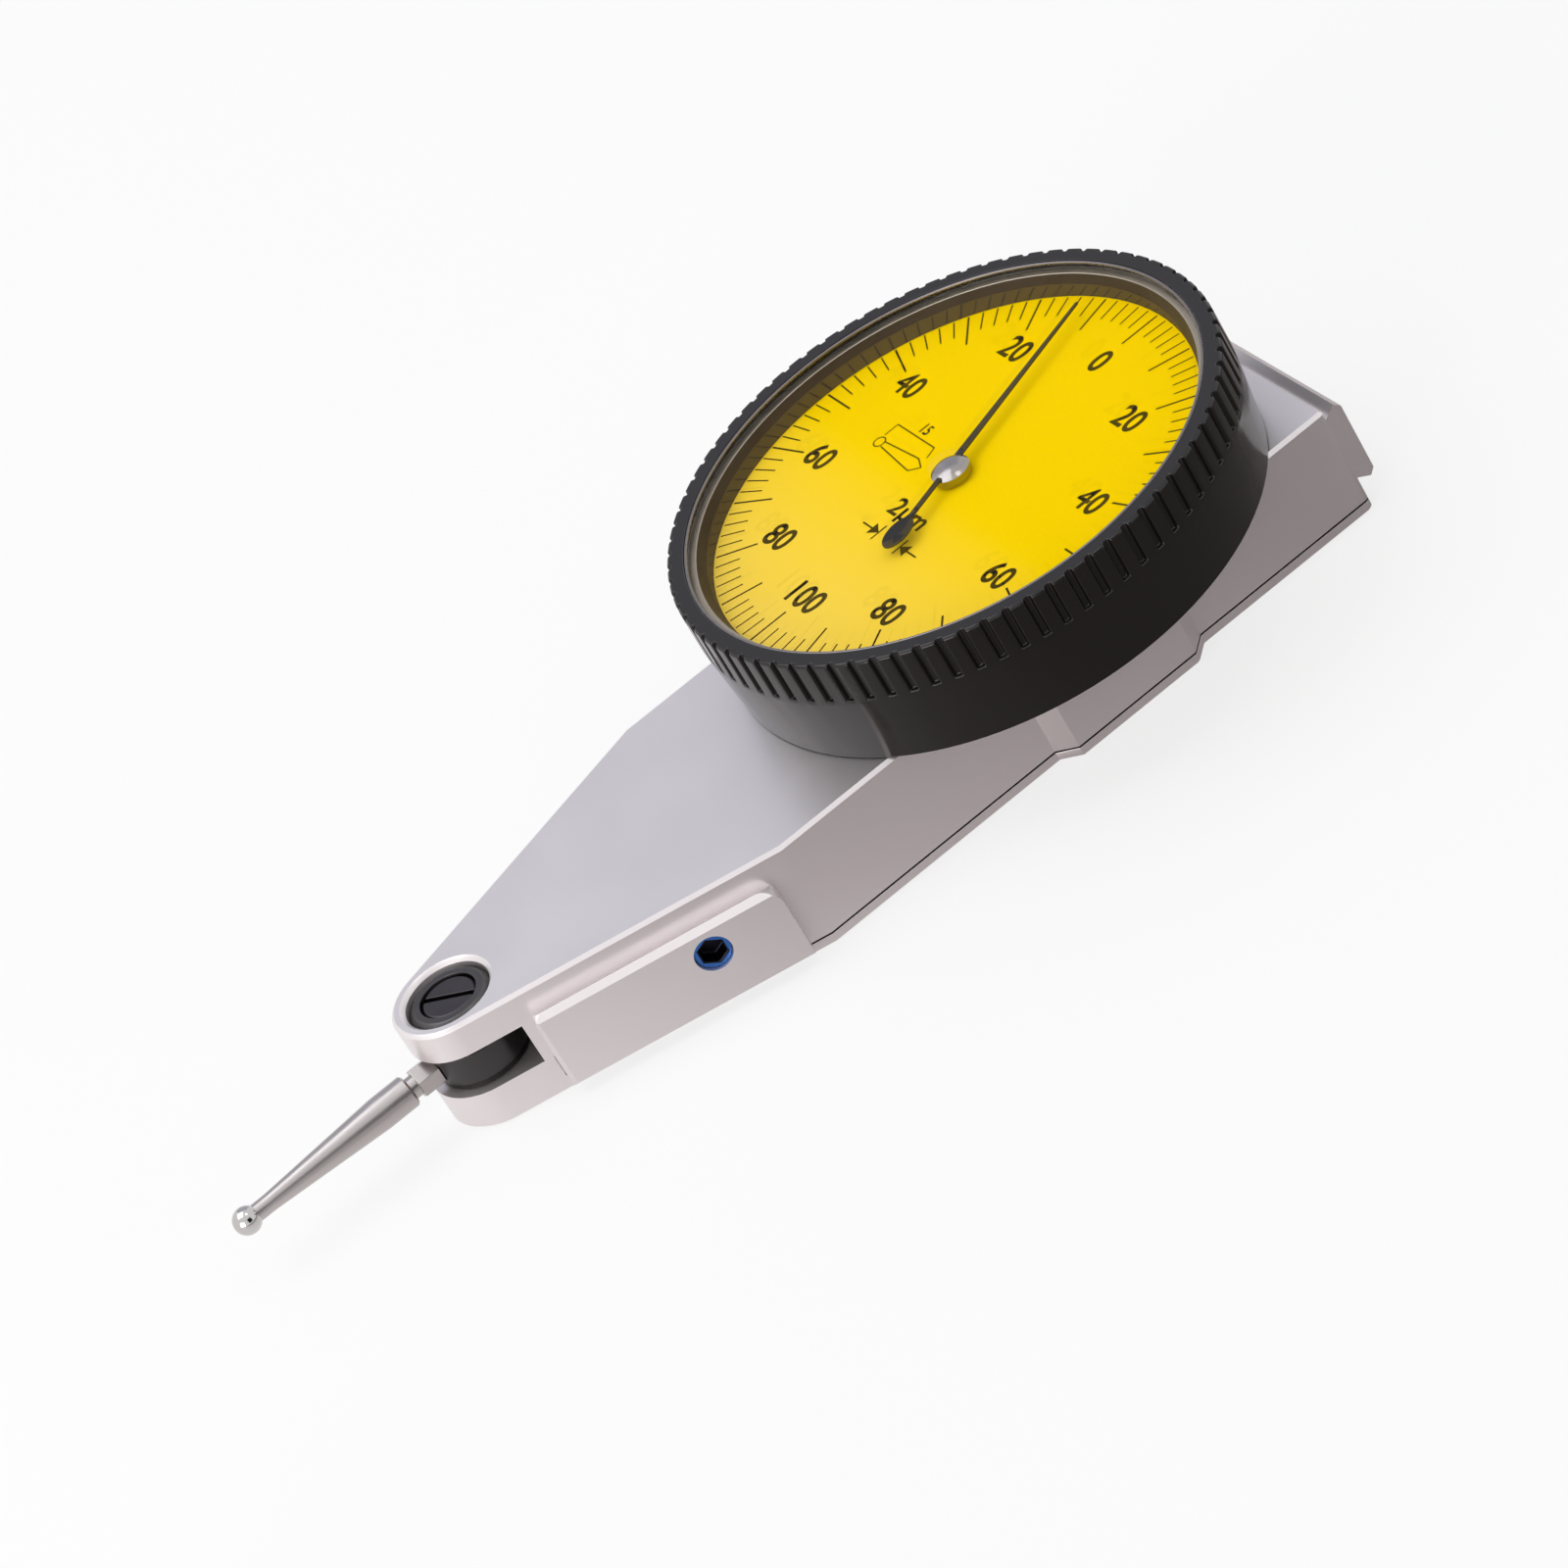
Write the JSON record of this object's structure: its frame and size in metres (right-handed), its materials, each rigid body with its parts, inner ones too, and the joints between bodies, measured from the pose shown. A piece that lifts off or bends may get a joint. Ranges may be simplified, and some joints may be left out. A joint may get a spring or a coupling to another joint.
{
  "type": "dial test indicator",
  "caption": "Dial test indicator: tapered case with dovetail rails, ball stylus on a friction drum, lever and gear train, hand, and a turning bezel with a yellow dial.",
  "frame": {"origin": "on the dial's axis, at the bottom of the back cover", "axes": "+Z out of the dial, -X towards the stylus, -Y on the side of the rail with the screw"},
  "size_m": [0.0891, 0.04, 0.0175],
  "materials": {
    "body_case": "satin plated",
    "back_cover": "satin plated",
    "cover_screws": "turned",
    "side_set_screw": "blued",
    "pivot_lock_ring": "dark steel",
    "upper_pivot_screw": "dark steel",
    "lower_pivot_screw": "dark steel",
    "pivot_shaft": "ground",
    "clutch_washer": "spring steel",
    "transmission_lever": "ground",
    "sector_gear": "cut",
    "sector_rivets": "turned",
    "stylus_drum": "blackened",
    "stylus_shank": "polished",
    "stylus_ball": "lapped",
    "intermediate_arbor": "cut",
    "intermediate_wheel": "cut",
    "centre_arbor": "cut",
    "hairspring_collet": "turned",
    "hairspring": "spring steel",
    "hairspring_stud": "milled",
    "movement_bridge": "milled",
    "bridge_screws": "turned",
    "jewel_bearings": "ruby",
    "bezel": "black anodised",
    "bezel_press_ring": "turned",
    "dial_plate": "printed yellow",
    "dial_keys": "milled",
    "crystal": "clear",
    "crystal_retaining_ring": "black anodised",
    "pointer_hand": "dark",
    "pointer_hub": "polished"
  },
  "bodies": {
    "case": {"body_case": "body_case", "back_cover": "back_cover", "cover_screws": "cover_screws", "side_set_screw": "side_set_screw", "pivot_lock_ring": "pivot_lock_ring", "upper_pivot_screw": "upper_pivot_screw", "lower_pivot_screw": "lower_pivot_screw", "hairspring": "hairspring", "hairspring_stud": "hairspring_stud", "movement_bridge": "movement_bridge", "bridge_screws": "bridge_screws", "jewel_bearings": "jewel_bearings", "bezel_press_ring": "bezel_press_ring"},
    "lever": {"transmission_lever": "transmission_lever", "sector_gear": "sector_gear", "sector_rivets": "sector_rivets", "pivot_shaft": "pivot_shaft", "clutch_washer": "clutch_washer"},
    "stylus": {"stylus_drum": "stylus_drum", "stylus_shank": "stylus_shank", "stylus_ball": "stylus_ball"},
    "intermediate": {"intermediate_arbor": "intermediate_arbor", "intermediate_wheel": "intermediate_wheel"},
    "pointer": {"centre_arbor": "centre_arbor", "hairspring_collet": "hairspring_collet", "pointer_hand": "pointer_hand", "pointer_hub": "pointer_hub"},
    "bezel_group": {"bezel": "bezel", "dial_plate": "dial_plate", "dial_keys": "dial_keys", "crystal": "crystal", "crystal_retaining_ring": "crystal_retaining_ring"}
  },
  "joints": [
    {"name": "pointer_turn", "type": "hinge", "parent": "case", "child": "pointer", "pos_m": [0, 0, 0.01], "axis": [0, 0, 1], "range_deg": [-180, 180], "stiffness_Nm_per_rad": 0.000001},
    {"name": "lever_swing", "type": "hinge", "parent": "case", "child": "lever", "pos_m": [-0.0469, 0, 0.0046], "axis": [0, 0, 1], "range_deg": [-0.31, 0.31]},
    {"name": "intermediate_turn", "type": "hinge", "parent": "case", "child": "intermediate", "pos_m": [-0.008, 0, 0.0046], "axis": [0, 0, 1], "range_deg": [-22.6, 22.6]},
    {"name": "stylus_clutch", "type": "hinge", "parent": "lever", "child": "stylus", "pos_m": [-0.0469, 0, 0.0046], "axis": [0, 0, 1], "range_deg": [-95, 95]},
    {"name": "bezel_turn", "type": "hinge", "parent": "case", "child": "bezel_group", "pos_m": [0, 0, 0.012], "axis": [0, 0, 1], "continuous": true}
  ],
  "couplings": [
    {"joint": "lever_swing", "follows": "pointer_turn", "ratio": 0.0016667},
    {"joint": "intermediate_turn", "follows": "pointer_turn", "ratio": -0.125}
  ]
}
